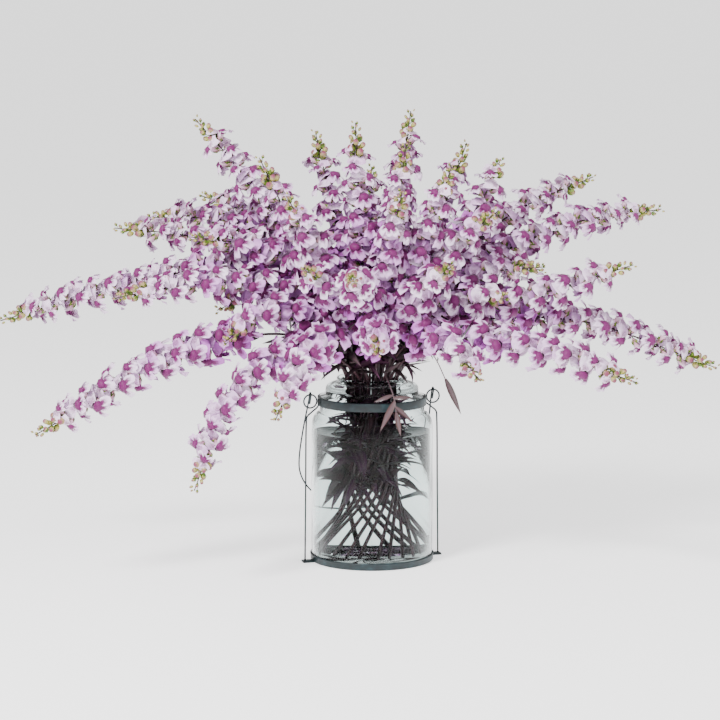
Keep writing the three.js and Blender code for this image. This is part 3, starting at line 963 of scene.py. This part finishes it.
def raceme(stem, number):
    """The florets, buds and green cups of one stem, as three bmeshes."""
    rnd = random.Random(100 + number)
    flowers, buds, greens = bmesh.new(), bmesh.new(), bmesh.new()
    bloom_length = (1 - stem.bloom) * stem.length
    tip_length = min(0.22 * bloom_length, 52 * MM)
    count = max(0, int((bloom_length - tip_length) / FLORET_STEP))
    angle = rnd.uniform(0, 6.3)
    end = 1 - tip_length / stem.length
    paleness = min(1.0, (stem.at(1)[0] - target).length / 0.5)
    for i in range(count):
        t = i / max(count - 1, 1)
        share = stem.bloom + (end - stem.bloom) * t
        angle += GOLDEN + rnd.uniform(-0.2, 0.2)
        scale = (1.28 - 0.26 * t) * rnd.uniform(0.88, 1.1)
        place = flower_frame(stem, share, angle, 0.5 + 0.35 * t, scale, rnd.uniform(-0.35, 0.35))
        shape = 4 if t > 0.9 else rnd.randrange(4)
        pink = 0.95 - paleness * t + rnd.uniform(-0.5, 0.15)
        tint = max(0, min(3, int(4 * pink)))
        add_copy(flowers, FLORETS[shape][tint], place)
        add_copy(greens, CALYX_SHAPE, place @ Matrix.Scale(1.3, 4))
    total = int(tip_length / BUD_STEP)
    for i in range(total):
        t = (i + 1) / total
        share = end + (1 - end) * t * 0.995
        angle += GOLDEN
        scale = (1.6 - 1.1 * t) * rnd.uniform(0.9, 1.1)
        place = flower_frame(stem, share, angle, 0.9 + 0.6 * t, scale, 0)
        add_copy(buds, BUD_SHAPES[0 if t > 0.5 else 1], place)
        if i % 2 == 0:
            add_copy(greens, CALYX_SHAPE, place)
    return flowers, buds, greens


# %% [markdown]
# Leaves grow on the stems below the flowers, thick round the neck and under water. A leaf is a
# narrow grid bent along an arc, with its midrib marked. Inside the jar any point that would pass
# through the wall is drawn back to it, as real leaves press against glass.

# %% Leaves
LEAF_ROWS = 6


def glass_limit(z):
    """Free radius inside the jar at a height."""
    if z < 0.205:
        return jar_radius - w - 2.5 * MM
    if z < 0.246:
        return seat - w - 2 * MM
    if z < 0.262:
        return COLLAR - w - 2 * MM
    return NECK - w - 1.5 * MM


def add_leaf(bm, base, along, facing, length, width, droop, tint=(0, 0), inside=False):
    """A narrow leaf from `base`, growing `along` and bending by `droop` radians away from `facing`.

    The tint is how bronze and how purple it is.
    """
    layer = mark_layer(bm)
    grid = bmesh.ops.create_grid(bm, x_segments=2, y_segments=LEAF_ROWS, size=0.5)
    place = frame_of(base, along, facing)
    for vert in grid["verts"]:
        s, t = vert.co.x * 2, vert.co.y + 0.5
        half = width / 2 * (math.sin(math.pi * (0.06 + 0.94 * t) ** 0.75) + 0.04)
        bend = droop * t
        reach = length * (math.sin(bend) / droop if abs(droop) > 0.01 else t)
        fall = length * ((1 - math.cos(bend)) / droop if abs(droop) > 0.01 else 0)
        point = place @ Vector((half * s, reach, -fall + 0.35 * half * abs(s)))
        if inside:
            limit = glass_limit(point.z)
            out = math.hypot(point.x, point.y)
            if out > limit:
                point.x *= limit / out
                point.y *= limit / out
            point.z = max(point.z, foot + 8 * MM)
        vert.co = point
        vert[layer] = (0.8 * (1 - abs(s)), tint[0], tint[1], 0)


def stem_leaves(stem, number, bm):
    """Leaves of one stem: under water, round the neck, and small ones among the flowers."""
    rnd = random.Random(500 + number)
    angle = rnd.uniform(0, 6.3)

    def grow(count, low, high, lengths, widths, leans, droops, tints, inside=False):
        """Leaves between two shares of the stem, each chosen at random within the ranges."""
        nonlocal angle
        for _ in range(count):
            angle += GOLDEN
            point, along, across = stem.at(low + (high - low) * rnd.random())
            outward = (Matrix.Rotation(angle, 3, along) @ across).normalized()
            direction = (outward + rnd.uniform(*leans) * along).normalized()
            facing = (along - 0.3 * outward).normalized()
            length, width = rnd.uniform(*lengths) * MM, rnd.uniform(*widths) * MM
            add_leaf(
                bm, point + outward * 2 * MM, direction, facing,
                length, width, rnd.uniform(*droops), rnd.choice(tints), inside,
            )

    bare = stem.bloom - stem.rim
    under = next(i for i, p in enumerate(stem.route) if p.z > 0.108) / SAMPLES
    dark, purple, bronze = (0, 0), (0, 0.9), (0.7, 0.2)
    grow(
        10, under, under + 0.85 * (stem.rim - under), (34, 62), (9, 15), (-0.3, 1.2), (0.2, 1.2),
        [dark, dark, purple, purple, bronze], True,
    )
    grow(12, stem.rim + 0.1 * bare, stem.bloom, (34, 66), (7, 13), (0.3, 1.6), (-0.2, 1.3), [dark, dark, purple])
    grow(8, stem.bloom, 0.4 + 0.6 * stem.bloom, (18, 34), (4, 7), (0.4, 1.2), (0, 0.9), [dark])


# %% [markdown]
# A reddish sprig of leaves has slipped out of the neck and hangs over the band at the front,
# and one long leaf droops under the flowers at the right.


# %% Loose leaves
def view_leaf(bm, base, along, length, width, droop, tint):
    """A leaf placed in the bouquet's own frame, in millimetres; it faces the front."""
    add_leaf(
        bm, turned(*base) * MM, turned(*along), turned(0, -1, 0.25), length * MM, width * MM, droop, tint
    )


def hanging_sprig(bm):
    stalk = [(14, -34, 300), (20, -52, 286), (27, -72, 272), (33, -86, 254), (35, -92, 238), (34, -95, 226)]
    route = smooth_route([turned(*p) * MM for p in stalk], 4)
    sweep(bm, route, [(1.3 - 0.7 * i / len(route)) * MM for i in range(len(route))], 6)
    red, brown = (1, 0.3), (0.7, 0)
    view_leaf(bm, (33, -87, 254), (-0.5, -0.25, -1), 50, 9, 0.3, red)
    view_leaf(bm, (35, -92, 238), (0.2, -0.1, -1), 36, 8, 0.2, red)
    view_leaf(bm, (34, -90, 246), (0.9, -0.2, -0.75), 34, 7, 0.3, brown)
    view_leaf(bm, (30, -82, 262), (-1, -0.3, -0.3), 30, 6, 0.5, brown)
    view_leaf(bm, (31, -84, 258), (0.8, -0.4, 0.1), 30, 6, 0.6, red)


def right_leaf(bm):
    stalk = smooth_route([turned(*p) * MM for p in [(70, -82, 345), (92, -82, 318), (108, -73, 284)]], 5)
    sweep(bm, stalk, [0.9 * MM] * len(stalk), 5)
    view_leaf(bm, (108, -72, 285), (0.45, -0.1, -1), 58, 9, 0.2, (0.5, 0))


LOOSE_LEAVES = {"front_low": hanging_sprig, "front_right_low": right_leaf}

# %% Stems, racemes and leaves
CUT_RADIUS = 2.5 * MM
TIP_RADIUS = 0.8 * MM
flower_total = 0
for number, stem in enumerate(STEMS):
    node = "snapdragon_" + stem.name
    bm = bmesh.new()
    shares = [i / 56 for i in range(57)]
    route = [stem.at(share)[0] for share in shares]
    radii = []
    for share in shares:
        knot = 0.18 * MM * math.sin(38 * share * stem.length / 0.7)
        radii.append(CUT_RADIUS + (TIP_RADIUS - CUT_RADIUS) * share**1.6 + knot * (1 - share))
    sweep(bm, route, radii, 7)
    finish_piece("stem_" + stem.name, bm, BARK, "carrier", [node])
    flowers, buds, greens = raceme(stem, number)
    flower_total += len(flowers.faces)
    if flowers.faces:
        finish_piece("florets_" + stem.name, flowers, PETAL, "carrier", [node])
    else:
        flowers.free()
    finish_piece("buds_" + stem.name, buds, BUD, "carrier", [node])
    finish_piece("calyxes_" + stem.name, greens, CALYX, "carrier", [node])
    leaves = bmesh.new()
    stem_leaves(stem, number, leaves)
    if stem.name in LOOSE_LEAVES:
        LOOSE_LEAVES[stem.name](leaves)
    finish_piece("leaves_" + stem.name, leaves, LEAF, "carrier", [node])
print("floret faces in all:", flower_total)
